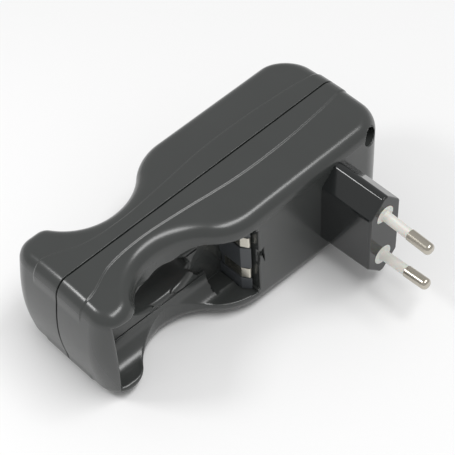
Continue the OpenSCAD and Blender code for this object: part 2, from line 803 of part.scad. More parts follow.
module rounded_rect(x, y, r) {
    polygon([for (q = [0:3]) for (k = [0:4])
        let (a = 90 * q + 90 * k / 4, sx = q == 0 || q == 3 ? 1 : -1, sy = q < 2 ? 1 : -1)
        [sx * (x - r) + r * cos(a), sy * (y - r) + r * sin(a)]]);
}
module transformer_winding() {
    color("#b8802a")
        translate([core_x, -surface - core_h / 2, 0])
            along_z(-window_z + 1.25, window_z - 1.25)
                difference() {
                    rounded_rect(core_t / 2 + 3.2, window_y - bobbin_gap - 0.2, 1.6);
                    square([core_t + 2.04, core_leg + 2.04], center = true);
                }
}
module can(r, h) {
    rotate([-90, 0, 0])
        rotate_extrude()
            polygon([[0, 0], [r - 0.3, 0], [r, 0.4], [r, 1.2], [r - 0.35, 1.6], [r, 2],
                [r, h - 0.5], [r - 0.5, h], [r - 1.2, h], [r - 1.4, h - 0.25], [0, h - 0.25]]);
}
module filter_capacitor() {
    color("#2d3560")
        translate([board_x0 + 14, surface, -9.5])
            can(5, 16);
}
module smoothing_capacitor() {
    color("#33343a")
        translate([board_x0 + 14, surface, 9.5])
            can(4, 12);
}
module diode() {
    rotate_extrude()
        polygon([[0, -2.6], [1.35, -2.6], [1.35, 2.6], [0, 2.6]]);
    both_z()
        translate([0, 0, 2.6])
            cylinder(d = 0.8, h = 1.8, $fn = 24);
    both_z()
        translate([0, -1.35, 4])
            rod_y(0.4, 0, 1.35);
}
module rectifier_diodes() {
    color("#1f2022")
        for (k = [0:3])
            translate([board_top - 3 - 4 * k, surface + 1.35, 0])
                diode();
}
module control_chip() {
    color("#1d1e20")
        translate([board_x0 + 14, 0, 0]) {
            block([-3.2, 3.2], [surface + 0.5, surface + 3.8], [-2.4, 2.4]);
            for (s = [-1, 1])
                for (k = [-1:1])
                    block(s > 0 ? [3.1, 3.9] : [-3.9, -3.1], [surface, surface + 2],
                        [k * 1.7 - 0.3, k * 1.7 + 0.3]);
        }
}
module switching_transistor() {
    color("#1d1e20")
        translate([board_x0 + 4.2, 0, 0]) {
            block([-1.4, 1.4], [-surface - 14, -surface - 3], [-4, 4]);
            for (k = [-1:1])
                block([-0.3, 0.3], [-surface - 3.5, -surface], [k * 2.3 - 0.4, k * 2.3 + 0.4]);
        }
}
module fuse_resistor() {
    color("#b9a58a")
        translate([board_top - 4, -surface - 1.8, 0]) {
            rotate_extrude()
                polygon([[0, -4], [1.5, -4], [1.8, -3.6], [1.8, -2.6], [1.55, -2.2],
                    [1.55, 2.2], [1.8, 2.6], [1.8, 3.6], [1.5, 4], [0, 4]]);
            both_z()
                translate([0, 0, 3.9])
                    cylinder(d = 0.8, h = 1.6, $fn = 24);
            both_z()
                translate([0, 0, 5.1])
                    rod_y(0.4, 0, 1.8);
        }
}
module mains_lead(side) {
    y0 = face_y + pin_in * cos(pin_lean) + 0.05;
    z0 = pin_pitch / 2 + pin_in * sin(pin_lean);
    translate([0, 0, side * z0])
        rod_y(lead_d / 2, y0, -surface);
}
module live_lead() {
    color("#6b4a2f")
        mains_lead(1);
}
module neutral_lead() {
    color("#2f4f8a")
        mains_lead(-1);
}
module case_screw(side) {
    color("#9a9b9d")
        translate([screw_x, -well_floor, side * screw_z])
            difference() {
                union() {
                    rod_y(head_d / 2, -2, 0);
                    rod_y(screw_d / 2, 0, screw_len);
                }
                for (a = [0, 90])
                    rotate([0, a, 0])
                        block([-1.6, 1.6], [-2.5, -1], [-0.4, 0.4]);
            }
}
module case_screw_upper() {
    case_screw(1);
}
module case_screw_lower() {
    case_screw(-1);
}

// Moves the part so that it lies on its side face, centred over the ground origin.
rest_x = ((top_x - edge_round) * cos(tilt) - (side_at(top_x) - edge_round) * sin(tilt) + edge_round
    + end_x * cos(tilt) - pow(sin(tilt), 2) / (4 * end_bulge * cos(tilt))) / 2;
rest_y = (main_depth + face_y - pin_len * cos(pin_lean)) / 2;
rest_z = (half_width + band_height) * cos(tilt);
module place() {
    translate([-rest_x, -rest_y, rest_z])
        rotate([0, tilt, 0])
            children();
}

place() {
    rear_shell();
    front_shell();
    plug_block();
    pin_upper();
    pin_lower();
    sleeve_upper();
    sleeve_lower();
    rear_contact_holder();
    front_contact_holder();
    rear_plus_contact_upper();
    rear_plus_contact_lower();
    front_plus_contact_upper();
    front_plus_contact_lower();
    rear_end_contact_upper();
    rear_end_contact_lower();
    front_end_contact_upper();
    front_end_contact_lower();
    return_wire_upper();
    return_wire_lower();
    circuit_board();
    transformer_core();
    transformer_bobbin();
    transformer_winding();
    filter_capacitor();
    smoothing_capacitor();
    rectifier_diodes();
    control_chip();
    switching_transistor();
    fuse_resistor();
    live_lead();
    neutral_lead();
    case_screw_upper();
    case_screw_lower();
}
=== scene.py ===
import bpy
import bmesh
import math
import numpy as np
from mathutils import Matrix, Vector


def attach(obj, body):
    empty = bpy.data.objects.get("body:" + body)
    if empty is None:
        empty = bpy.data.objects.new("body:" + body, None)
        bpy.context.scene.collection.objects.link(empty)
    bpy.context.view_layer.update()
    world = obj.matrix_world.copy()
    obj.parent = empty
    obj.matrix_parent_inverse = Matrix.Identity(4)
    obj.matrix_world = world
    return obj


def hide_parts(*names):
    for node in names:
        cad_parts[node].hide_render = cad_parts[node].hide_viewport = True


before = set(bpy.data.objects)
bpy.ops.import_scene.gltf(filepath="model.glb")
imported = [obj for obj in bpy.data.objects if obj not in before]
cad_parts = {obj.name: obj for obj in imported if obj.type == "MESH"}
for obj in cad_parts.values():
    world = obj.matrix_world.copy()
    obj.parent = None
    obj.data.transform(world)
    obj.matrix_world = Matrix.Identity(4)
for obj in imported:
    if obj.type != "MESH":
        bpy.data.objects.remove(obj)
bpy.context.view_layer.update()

# Sizes
# All sizes are in millimetres in the case's own axes: X along the body with its zero
# at the plug, Y the depth from the seam, Z the width from the middle plane.
# The case and the plug come first, because the part's place follows from them.
caseSizes = {
    "endX": -96.6, "topX": 24.0, "mainDepth": 23.8, "endDepth": 22.4, "waistDepth": 10.8,
    "halfWidth": 23.0, "taper": 0.0322, "crown": 1.3,
    "edgeRound": 4.4, "waistRoll": 1.2, "cornerRound": 4.2, "cornerFrom": 2.0, "cornerSpan": 6.0,
    "topRound": 10.5, "topExtra": 2.0, "topExtraFrom": 12.0, "topExtraSpan": 10.0,
    "endRound": 8.0, "endBulge": 0.01, "bulgeSpan": 11.0,
    "waistX": -64.6, "scoopTop": 20.0, "scoopEnd": 20.0, "shoulderTop": 20.0, "shoulderEnd": 8.0,
    "bandHeight": 0.35, "bandBevel": 0.85, "bandFrom": 12.0, "bandFade": 4.0,
    "seamGap": 0.26, "seamRound": 0.16,
}
# the solids' plug end and edges, which set where the part lies
solidSizes = {"topX": 22.6, "edgeRound": 5.2}
plugSizes = {
    "blockH": 20.5, "blockX": 6.85, "blockZ": 17.5, "cut": 6.0, "cutGrowth": 0.6,
    "draft": 0.35, "edge": 0.75, "inset": 2.6,
    "pitch": 18.6, "tipPitch": 17.5, "upperBend": 0.04,
    "pinD": 4.0, "coreD": 3.0, "pinLen": 19.2, "pinIn": 22.0, "tipR": 0.75, "tipH": 1.4, "pinEase": 0.12,
    "sleeveD": 3.6, "sleeveLen": 10.2, "sleeveIn": 3.0, "flangeD": 7.2, "flangeT": 0.6, "fitGap": 0.04,
}


def makePlacer():
    # the case lies on its tapered side face, centred over the ground origin
    c, p = dict(caseSizes, **solidSizes), plugSizes
    tilt = -math.atan(c["taper"])
    ct, st = math.cos(tilt), math.sin(tilt)
    lean = math.atan((p["pitch"] - p["tipPitch"]) / 2 / p["pinLen"])
    topSide = c["halfWidth"] + c["taper"] * c["topX"]
    restX = ((c["topX"] - c["edgeRound"]) * ct - (topSide - c["edgeRound"]) * st + c["edgeRound"]
             + c["endX"] * ct - st ** 2 / (4 * c["endBulge"] * ct)) / 2
    faceY = -c["mainDepth"] - p["blockH"]
    restY = (c["mainDepth"] + faceY - p["pinLen"] * math.cos(lean)) / 2
    restZ = (c["halfWidth"] + c["bandHeight"]) * ct
    turn = np.array([[ct, 0, st], [0, 1, 0], [-st, 0, ct]])
    shift = np.array([-restX, -restY, restZ])
    return turn, shift, lean, faceY


turnToRow, shiftToRow, pinLean, plugFaceY = makePlacer()


def toRow(points):
    # case millimetres to metres in the shared frame
    return (np.asarray(points, float) @ turnToRow.T + shiftToRow) / 1000


# Small helpers
def linear(hexColor):
    # sRGB hex value to linear colour
    parts = [int(hexColor[i:i + 2], 16) / 255 for i in (1, 3, 5)]
    return [v / 12.92 if v <= 0.04045 else ((v + 0.055) / 1.055) ** 2.4 for v in parts] + [1.0]


def addNode(tree, kind, settings=None, links=None):
    node = tree.nodes.new(kind)
    for key, value in (settings or {}).items():
        if key in node.inputs.keys() or isinstance(key, int):
            node.inputs[key].default_value = value
        else:
            setattr(node, key, value)
    for key, source in (links or {}).items():
        tree.links.new(source, node.inputs[key])
    return node


def meshObject(name, verts, faces, smooth=True):
    mesh = bpy.data.meshes.new(name)
    mesh.from_pydata([tuple(v) for v in verts], [], [tuple(f) for f in faces])
    mesh.update()
    if smooth:
        mesh.shade_smooth()
    obj = bpy.data.objects.new(name, mesh)
    bpy.context.collection.objects.link(obj)
    return obj


def tidyNormals(obj):
    bm = bmesh.new()
    bm.from_mesh(obj.data)
    bmesh.ops.remove_doubles(bm, verts=bm.verts, dist=1e-7)
    bmesh.ops.recalc_face_normals(bm, faces=bm.faces)
    bm.to_mesh(obj.data)
    bm.free()


def addBevel(obj, width, segments, angle):
    mod = obj.modifiers.new("edges", "BEVEL")
    mod.width = width / 1000
    mod.segments = segments
    mod.limit_method = "ANGLE"
    mod.angle_limit = math.radians(angle)
    mod.harden_normals = True


# Materials
# sizes of the patterns in millimetres: uneven gloss of a moulding, drawing lines of a metal
# strip, drawn coarser than they are so that they show, and its worn patches
patternSizes = {"gloss": 14.0, "lines": 0.5, "wear": 5.0}


def plasticMaterial(name, color, rough, grain, grainDepth, ior=1.52, blotch=0.0):
    mat = bpy.data.materials.new(name)
    mat.use_nodes = True
    tree = mat.node_tree
    shader = tree.nodes["Principled BSDF"]
    shader.inputs["IOR"].default_value = ior
    coords = addNode(tree, "ShaderNodeTexCoord")
    fine = addNode(tree, "ShaderNodeTexNoise", {"Scale": 1000 / grain, "Detail": 3.0, "Roughness": 0.6},
                   {"Vector": coords.outputs["Object"]})
    broad = addNode(tree, "ShaderNodeTexNoise", {"Scale": 1000 / patternSizes["gloss"], "Detail": 2.0},
                    {"Vector": coords.outputs["Object"]})
    dark, light = linear(color), linear(color)
    light = [min(1, v * (1 + blotch)) for v in light[:3]] + [1]
    mix = addNode(tree, "ShaderNodeMix", {"data_type": "RGBA"}, {"Factor": broad.outputs["Fac"]})
    mix.inputs["A"].default_value, mix.inputs["B"].default_value = dark, light
    tree.links.new(mix.outputs["Result"], shader.inputs["Base Color"])
    roughRamp = addNode(tree, "ShaderNodeMapRange", {"To Min": rough * 0.85, "To Max": rough * 1.15},
                        {"Value": broad.outputs["Fac"]})
    tree.links.new(roughRamp.outputs["Result"], shader.inputs["Roughness"])
    bump = addNode(tree, "ShaderNodeBump", {"Strength": 0.6, "Distance": grainDepth / 1000},
                   {"Height": fine.outputs["Fac"]})
    tree.links.new(bump.outputs["Normal"], shader.inputs["Normal"])
    return mat


def metalMaterial(name, color, rough, scratch=0.06):
    mat = bpy.data.materials.new(name)
    mat.use_nodes = True
    tree = mat.node_tree
    shader = tree.nodes["Principled BSDF"]
    shader.inputs["Metallic"].default_value = 1.0
    coords = addNode(tree, "ShaderNodeTexCoord")
    stretch = addNode(tree, "ShaderNodeMapping", {"Scale": (1.0, 0.12, 1.0)},
                      {"Vector": coords.outputs["Object"]})
    lines = addNode(tree, "ShaderNodeTexNoise", {"Scale": 1000 / patternSizes["lines"], "Detail": 2.0},
                    {"Vector": stretch.outputs["Vector"]})
    wear = addNode(tree, "ShaderNodeTexNoise", {"Scale": 1000 / patternSizes["wear"], "Detail": 1.0},
                   {"Vector": coords.outputs["Object"]})
    mix = addNode(tree, "ShaderNodeMix", {"data_type": "RGBA"}, {"Factor": lines.outputs["Fac"]})
    base = linear(color)
    mix.inputs["A"].default_value = [v * 0.96 for v in base[:3]] + [1]
    mix.inputs["B"].default_value = base
    tree.links.new(mix.outputs["Result"], shader.inputs["Base Color"])
    ramp = addNode(tree, "ShaderNodeMapRange",
                   {"To Min": rough * (1 - scratch), "To Max": rough * (1 + scratch)},
                   {"Value": wear.outputs["Fac"]})
    tree.links.new(ramp.outputs["Result"], shader.inputs["Roughness"])
    return mat


# satin moulded ABS: near black, soft wide highlights, a very fine spark-eroded grain
satinAbs = plasticMaterial("satinMouldedAbs", "#353736", 0.25, 0.5, 0.001, ior=1.6, blotch=0.12)
# polished moulded polyamide of the plug block: darker and sharper reflections
polishedBlock = plasticMaterial("polishedPlugPolyamide", "#1f2121", 0.1, 0.8, 0.001, ior=1.55)
# white PVC sleeve: soft, slightly see-through
whiteSleeve = plasticMaterial("whitePvcSleeve", "#d9d8d1", 0.38, 0.6, 0.003, ior=1.5)
whiteSleeve.node_tree.nodes["Principled BSDF"].inputs["Subsurface Weight"].default_value = 0.25
whiteSleeve.node_tree.nodes["Principled BSDF"].inputs["Subsurface Scale"].default_value = 0.0015
# grey moulded holder between the contacts: half matt; its grey is set a little darker than its own, as
# painted shade for its shaded front face
greyHolder = plasticMaterial("greyMouldedHolder", "#46494c", 0.34, 0.5, 0.005)
# nickel plate on drawn brass pins: warm grey with soft, stretched reflections
nickelPin = metalMaterial("nickelPlatedBrass", "#c2bcb0", 0.24)
# nickel plate on spring strip: paler than the pins
nickelStrip = metalMaterial("nickelPlatedSpring", "#d8d4c8", 0.26)
# zinc plate on steel screws: cool and duller grey
zincScrew = metalMaterial("zincPlatedSteel", "#a9abae", 0.32)
# the closed case hides all of these but the screws: plain colours with their usual gloss
insideMaterials = {
    "return_wire": plasticMaterial("redWireSilicone", "#8e1f1a", 0.45, 0.6, 0.003),
    "circuit_board": plasticMaterial("greenSolderMask", "#1f5a34", 0.3, 0.4, 0.004, blotch=0.3),
    "transformer_core": plasticMaterial("sinteredFerrite", "#2f3033", 0.5, 0.3, 0.01),
    "transformer_bobbin": plasticMaterial("blackBobbinNylon", "#1c1d1c", 0.45, 0.5, 0.004),
    "transformer_winding": plasticMaterial("yellowWindingTape", "#c98f2a", 0.3, 1.0, 0.004),
    "filter_capacitor": plasticMaterial("blueCapacitorSleeve", "#26305f", 0.28, 1.0, 0.003),
    "smoothing_capacitor": plasticMaterial("blackCapacitorSleeve", "#24252b", 0.28, 1.0, 0.003),
    "rectifier_diodes": plasticMaterial("epoxyPackage", "#1a1b1d", 0.5, 0.3, 0.006),
    "control_chip": plasticMaterial("epoxyChipPackage", "#1b1c1e", 0.5, 0.3, 0.006),
    "switching_transistor": plasticMaterial("epoxyPowerPackage", "#191a1c", 0.5, 0.3, 0.006),
    "fuse_resistor": plasticMaterial("lacqueredResistor", "#b49a74", 0.4, 0.8, 0.004),
    "live_lead": plasticMaterial("brownLeadPvc", "#5a3a22", 0.45, 0.8, 0.003),
    "neutral_lead": plasticMaterial("blueLeadPvc", "#274a86", 0.45, 0.8, 0.003),
    "case_screw": zincScrew,
}


# Case shells
# Each half shell is a smooth solid given by one function of space, negative inside.
# The function is sampled on a grid, a mesh is drawn through its zero surface, and
# every point is then moved exactly onto that surface.
baySizes = {
    "endX": -90.8, "contactX": -38.2, "cellZ": 7.325, "cradleR": 7.4, "floorY": 10.6,
    "grooveZ": 6.8, "grooveW": 0.8, "grooveDeep": 0.6, "grooveFrom": 1.0,
    "recessLen": 7.8, "recessY": 8.8, "recessInset": 0.6, "notchR": 8.0, "notchShift": 2.3,
    "holderT": 2.4, "holderZ": 15.2, "seatGap": 0.1, "slotW": 0.9, "slotZ": 14.0,
    "rimRound": 0.45, "endRimRound": 1.6, "endRimX": -82.0, "endRimSpan": 6.0,
}
# the finger hole is wider on its upper side
holeSizes = {
    "x": -63.9, "halfLength": 12.2, "lowerHalf": 5.6, "upperHalf": 10.6,
    "lowerLeadIn": 1.8, "upperLeadIn": 1.0, "leadFromY": 4.0, "leadSpan": 3.0,
}
screwSizes = {"x": 15.9, "z": 17.3, "wellR": 3.05, "floorY": 5.0, "rim": 0.3}
# depths of the hooked notch and of the plug's window, and how far the window's wall runs in
rearSizes = {"notchDeep": 1.3, "windowDeep": 2.2, "windowIn": 0.3}


def roundMax(a, b, r):
    # larger of the two, with the corner between them rounded to radius r
    return np.minimum(np.maximum(a + r, b + r), 0) + np.hypot(np.maximum(a + r, 0), np.maximum(b + r, 0)) - r


def smoothStep(t):
    t = np.clip(t, 0, 1)
    return t * t * (3 - 2 * t)


# The front half is a little shallower than the rear one, and its scoop rises more softly.
frontSizes = {"mainDepth": 23.1, "endDepth": 22.5, "waistX": -63.9, "scoopTop": 22.0, "scoopEnd": 19.0,
              "shoulderTop": 19.0, "shoulderEnd": 5.0, "topRound": 12.5}


def halfSizes(rear):
    c = dict(caseSizes)
    if not rear:
        c.update(frontSizes)
    run = lambda rise, radii: math.sqrt(rise * (2 * radii - rise))
    endRun = run(c["endDepth"] - c["waistDepth"], c["scoopEnd"] + c["shoulderEnd"])
    topRun = run(c["mainDepth"] - c["waistDepth"], c["scoopTop"] + c["shoulderTop"])
    c["endKnee"], c["topKnee"] = c["waistX"] - endRun, c["waistX"] + topRun
    c["endJoin"] = c["waistX"] - endRun * c["scoopEnd"] / (c["scoopEnd"] + c["shoulderEnd"])
    c["topJoin"] = c["waistX"] + topRun * c["scoopTop"] / (c["scoopTop"] + c["shoulderTop"])
    return c


def depthAt(c, x):
    sag = lambda r, u: r - np.sqrt(np.maximum(0, r * r - u * u))
    return np.select(
        [x < c["endX"] + c["endRound"], x < c["endKnee"], x < c["endJoin"], x < c["waistX"], x < c["topJoin"],
         x < c["topKnee"], x < c["topX"] - c["topRound"]],
        [c["endDepth"] - sag(c["endRound"], c["endX"] + c["endRound"] - x), c["endDepth"] + 0 * x,
         c["endDepth"] - sag(c["shoulderEnd"], x - c["endKnee"]),
         c["waistDepth"] + sag(c["scoopEnd"], c["waistX"] - x),
         c["waistDepth"] + sag(c["scoopTop"], x - c["waistX"]),
         c["mainDepth"] - sag(c["shoulderTop"], c["topKnee"] - x), c["mainDepth"] + 0 * x],
        c["mainDepth"] - sag(c["topRound"], x - c["topX"] + c["topRound"]))


def profileDistance(c, x, y):
    # signed distance to the outline seen from the side, made of lines and arcs
    er, tr = c["endRound"], c["topRound"]
    arcs = [
        (c["endX"] + er, c["endDepth"] - er, er, c["endX"], c["endX"] + er, True),
        (c["endKnee"], c["endDepth"] - c["shoulderEnd"], c["shoulderEnd"], c["endKnee"], c["endJoin"], True),
        (c["waistX"], c["waistDepth"] + c["scoopEnd"], c["scoopEnd"], c["endJoin"], c["waistX"], False),
        (c["waistX"], c["waistDepth"] + c["scoopTop"], c["scoopTop"], c["waistX"], c["topJoin"], False),
        (c["topKnee"], c["mainDepth"] - c["shoulderTop"], c["shoulderTop"], c["topJoin"], c["topKnee"], True),
        (c["topX"] - tr, c["mainDepth"] - tr, tr, c["topX"] - tr, c["topX"], True),
    ]
    best = np.full(np.broadcast(x, y).shape, 1e3)
    for cx, cy, r, xa, xb, upper in arcs:
        dx, dy = x - cx, y - cy
        length = np.hypot(dx, dy) + 1e-9
        foot = cx + r * dx / length
        hit = (foot >= xa - 1e-6) & (foot <= xb + 1e-6) & ((dy > 0) == upper)
        best = np.where(hit, np.minimum(best, np.abs(length - r)), best)
    for xa, xb, level in ((c["endX"] + er, c["endKnee"], c["endDepth"]),
                          (c["topKnee"], c["topX"] - tr, c["mainDepth"])):
        best = np.where((x >= xa) & (x <= xb), np.minimum(best, np.abs(y - level)), best)
    best = np.where(y <= c["endDepth"] - er, np.minimum(best, np.abs(x - c["endX"])), best)
    best = np.where(y <= c["mainDepth"] - tr, np.minimum(best, np.abs(x - c["topX"])), best)
    for px in (c["endKnee"], c["endJoin"], c["topJoin"], c["topKnee"]):
        best = np.minimum(best, np.hypot(x - px, y - depthAt(c, np.array(px))))
    inside = (x > c["endX"]) & (x < c["topX"]) & (y < depthAt(c, x))
    return np.where(inside, -best, best)


# height of the style line over the seam along the body, as share of the length and millimetres
styleKeys = [(-1.02, 10.6), (-0.93, 10.6), (-0.82, 6.2), (-0.68, 4.9), (-0.52, 6.0), (-0.3, 8.3), (-0.1, 8.5),
             (0.1, 7.2), (0.26, 5.4)]


def styleAt(x):
    u = np.clip(x / -caseSizes["endX"], styleKeys[0][0], styleKeys[-1][0])
    keys = np.array(styleKeys)
    slope = np.zeros(len(keys))
    slope[1:-1] = (keys[2:, 1] - keys[:-2, 1]) / (keys[2:, 0] - keys[:-2, 0])
    k = np.clip(np.searchsorted(keys[:, 0], u, side="right") - 1, 0, len(keys) - 2)
    w = keys[k + 1, 0] - keys[k, 0]
    t = (u - keys[k, 0]) / w
    return ((2 * t ** 3 - 3 * t ** 2 + 1) * keys[k, 1] + (t ** 3 - 2 * t ** 2 + t) * w * slope[k]
            + (3 * t ** 2 - 2 * t ** 3) * keys[k + 1, 1] + (t ** 3 - t ** 2) * w * slope[k + 1])


def outerSkin(c, x, y, z):
    az = np.abs(z)
    xe = x - c["endBulge"] * z * z * np.clip((c["endX"] + c["bulgeSpan"] - x) / c["bulgeSpan"], 0, 1)
    share = np.where((x > c["endKnee"]) & (x < c["topKnee"]),
                     np.clip((c["mainDepth"] - depthAt(c, x)) / (c["mainDepth"] - c["waistDepth"]), 0, 1), 0)
    pastCorner = smoothStep((x - c["endX"] - c["cornerFrom"]) / c["cornerSpan"])
    nearTop = smoothStep((x - c["topX"] + c["topExtraFrom"]) / c["topExtraSpan"])
    r = (c["cornerRound"] + (c["edgeRound"] - c["cornerRound"]) * pastCorner + c["waistRoll"] * share
         + c["topExtra"] * nearTop)
    band = c["bandHeight"] * smoothStep((styleAt(x) - y) / c["bandBevel"] + 0.5)
    crowned = az + c["crown"] * (y / c["mainDepth"]) ** 2
    side = (crowned - c["halfWidth"] - c["taper"] * x) / math.sqrt(1 + c["taper"] ** 2)
    fade = smoothStep((az - c["bandFrom"]) / c["bandFade"])
    return roundMax(profileDistance(c, xe, y), side, r) - band * fade


def bayCut(x, y, z):
    b = baySizes
    az = np.abs(z)
    halfZ = b["cellZ"] + b["cradleR"]
    q1, q2 = az - (halfZ - b["cradleR"]), b["floorY"] + b["cradleR"] - y
    cradle = np.hypot(np.maximum(q1, 0), np.maximum(q2, 0)) + np.minimum(np.maximum(q1, q2), 0) - b["cradleR"]
    cut = np.maximum(cradle, np.maximum(b["endX"] - x, x - b["contactX"]))
    groove = np.maximum(np.abs(az - b["grooveZ"]) - b["grooveW"] / 2, b["floorY"] - b["grooveDeep"] - y)
    groove = np.maximum(groove, np.maximum(b["endX"] + b["grooveFrom"] - x, x - b["contactX"]))
    cut = np.minimum(cut, np.maximum(groove, y - b["floorY"] - 1))
    # deeper recess with its half round notch
    recessX = b["contactX"] - b["recessLen"]
    recess = np.maximum(np.maximum(recessX - x, x - b["contactX"]),
                        np.maximum(b["recessY"] - y, az - halfZ + b["recessInset"]))
    notch = np.maximum(np.hypot(x - recessX - b["notchShift"], z) - b["notchR"],
                       np.maximum(b["recessY"] - y, az - b["grooveZ"]))
    notch = np.maximum(notch, x - b["contactX"])
    cut = np.minimum(cut, np.minimum(recess, notch))
    # seat of the contact holder and the slot behind it
    seat = np.maximum(np.abs(x - b["contactX"] - b["holderT"] / 2) - b["holderT"] / 2 - b["seatGap"],
                      np.maximum(b["recessY"] - y, az - b["holderZ"] - b["seatGap"]))
    slotEnd = b["contactX"] + b["holderT"] + b["slotW"]
    slot = np.maximum(np.maximum(b["contactX"] - x, x - slotEnd),
                      np.maximum(b["recessY"] - y, az - b["slotZ"]))
    return np.minimum(cut, np.minimum(seat, slot))


def holeCut(x, z):
    h = holeSizes
    half = np.where(z > 0, h["upperHalf"], h["lowerHalf"])
    u, v = (x - h["x"]) / h["halfLength"], z / half
    k = np.hypot(u, v) + 1e-9
    g = np.hypot(u / h["halfLength"], v / half) + 1e-9
    return k * (k - 1) / g


# points of the hooked notch in the rear face: along the body and across it
notchPoints = [(-35.4, 5.2), (-34.0, 3.9), (-32.7, 4.9), (-32.6, -1.9), (-33.5, 1.6), (-34.4, 1.6),
               (-34.8, -2.2), (-35.4, -2.4)]


def polygonDistance(x, z, points):
    best = np.full(np.broadcast(x, z).shape, 1e6)
    sign = np.ones(best.shape)
    n = len(points)
    for i in range(n):
        (ax, az), (bx, bz) = points[i], points[(i + 1) % n]
        ex, ez = bx - ax, bz - az
        wx, wz = x - ax, z - az
        t = np.clip((wx * ex + wz * ez) / (ex * ex + ez * ez), 0, 1)
        best = np.minimum(best, (wx - ex * t) ** 2 + (wz - ez * t) ** 2)
        c1, c2, c3 = z >= az, z < bz, ex * wz > ez * wx
        flip = (c1 & c2 & c3) | (~c1 & ~c2 & ~c3)
        sign = np.where(flip, -sign, sign)
    return sign * np.sqrt(best)


def shellSolid(rear):
    b, h, s, c, p, w = baySizes, holeSizes, screwSizes, halfSizes(rear), plugSizes, rearSizes

    def solid(x, y, z):
        f = outerSkin(c, x, y, z)
        # the bay's rim gets softer towards the bay end, and stays sharp at its floor
        nearEnd = smoothStep((b["endRimX"] - x) / b["endRimSpan"])
        rim = b["rimRound"] + (b["endRimRound"] - b["rimRound"]) * nearEnd
        f = roundMax(f, -bayCut(x, y, z), rim * np.clip((y - 12) / 2, 0.3, 1))
        lead = h["lowerLeadIn"] + (h["upperLeadIn"] - h["lowerLeadIn"]) * smoothStep((z + 3) / 6)
        f = roundMax(f, -holeCut(x, z), np.clip((y - h["leadFromY"]) / h["leadSpan"], 0.1, 1) * lead)
        if rear:
            well = np.maximum(np.hypot(x - s["x"], np.abs(z) - s["z"]) - s["wellR"], s["floorY"] - y)
            f = roundMax(f, -well, s["rim"])
            notchFloor = c["mainDepth"] - w["notchDeep"]
            f = np.maximum(f, -np.maximum(polygonDistance(x, z, notchPoints), notchFloor - y))
            ax, az = np.abs(x), np.abs(z)
            gx = p["blockX"] + p["draft"] - w["windowIn"]
            gz = p["blockZ"] + p["draft"] - w["windowIn"]
            octo = np.maximum(np.maximum(ax - gx, az - gz), (ax + az - gx - gz + p["cut"]) / math.sqrt(2))
            f = np.maximum(f, -np.maximum(octo, c["mainDepth"] - w["windowDeep"] - y))
        return roundMax(f, c["seamGap"] - y, c["seamRound"])
    return solid


def gridLine(pieces):
    # grid stops from (start, end, step) runs
    out = []
    for a, b, step in pieces:
        n = max(1, int(round((b - a) / step)))
        out += [a + (b - a) * k / n for k in range(n)]
    return np.array(out + [pieces[-1][1]])


# level at which the straight grid has its finest rows, and where its bend is full and fades out
gridBend = {"level": 7.6, "fullAt": 6.5, "fadeFrom": 9.0, "fadeSpan": 10.0}


def followStyle(x, y):
    # bends the grid so that its rows run along the style line
    g = gridBend
    share = smoothStep(y / g["fullAt"]) * (1 - smoothStep((y - g["fadeFrom"]) / g["fadeSpan"]))
    return y + (styleAt(x) - g["level"]) * share


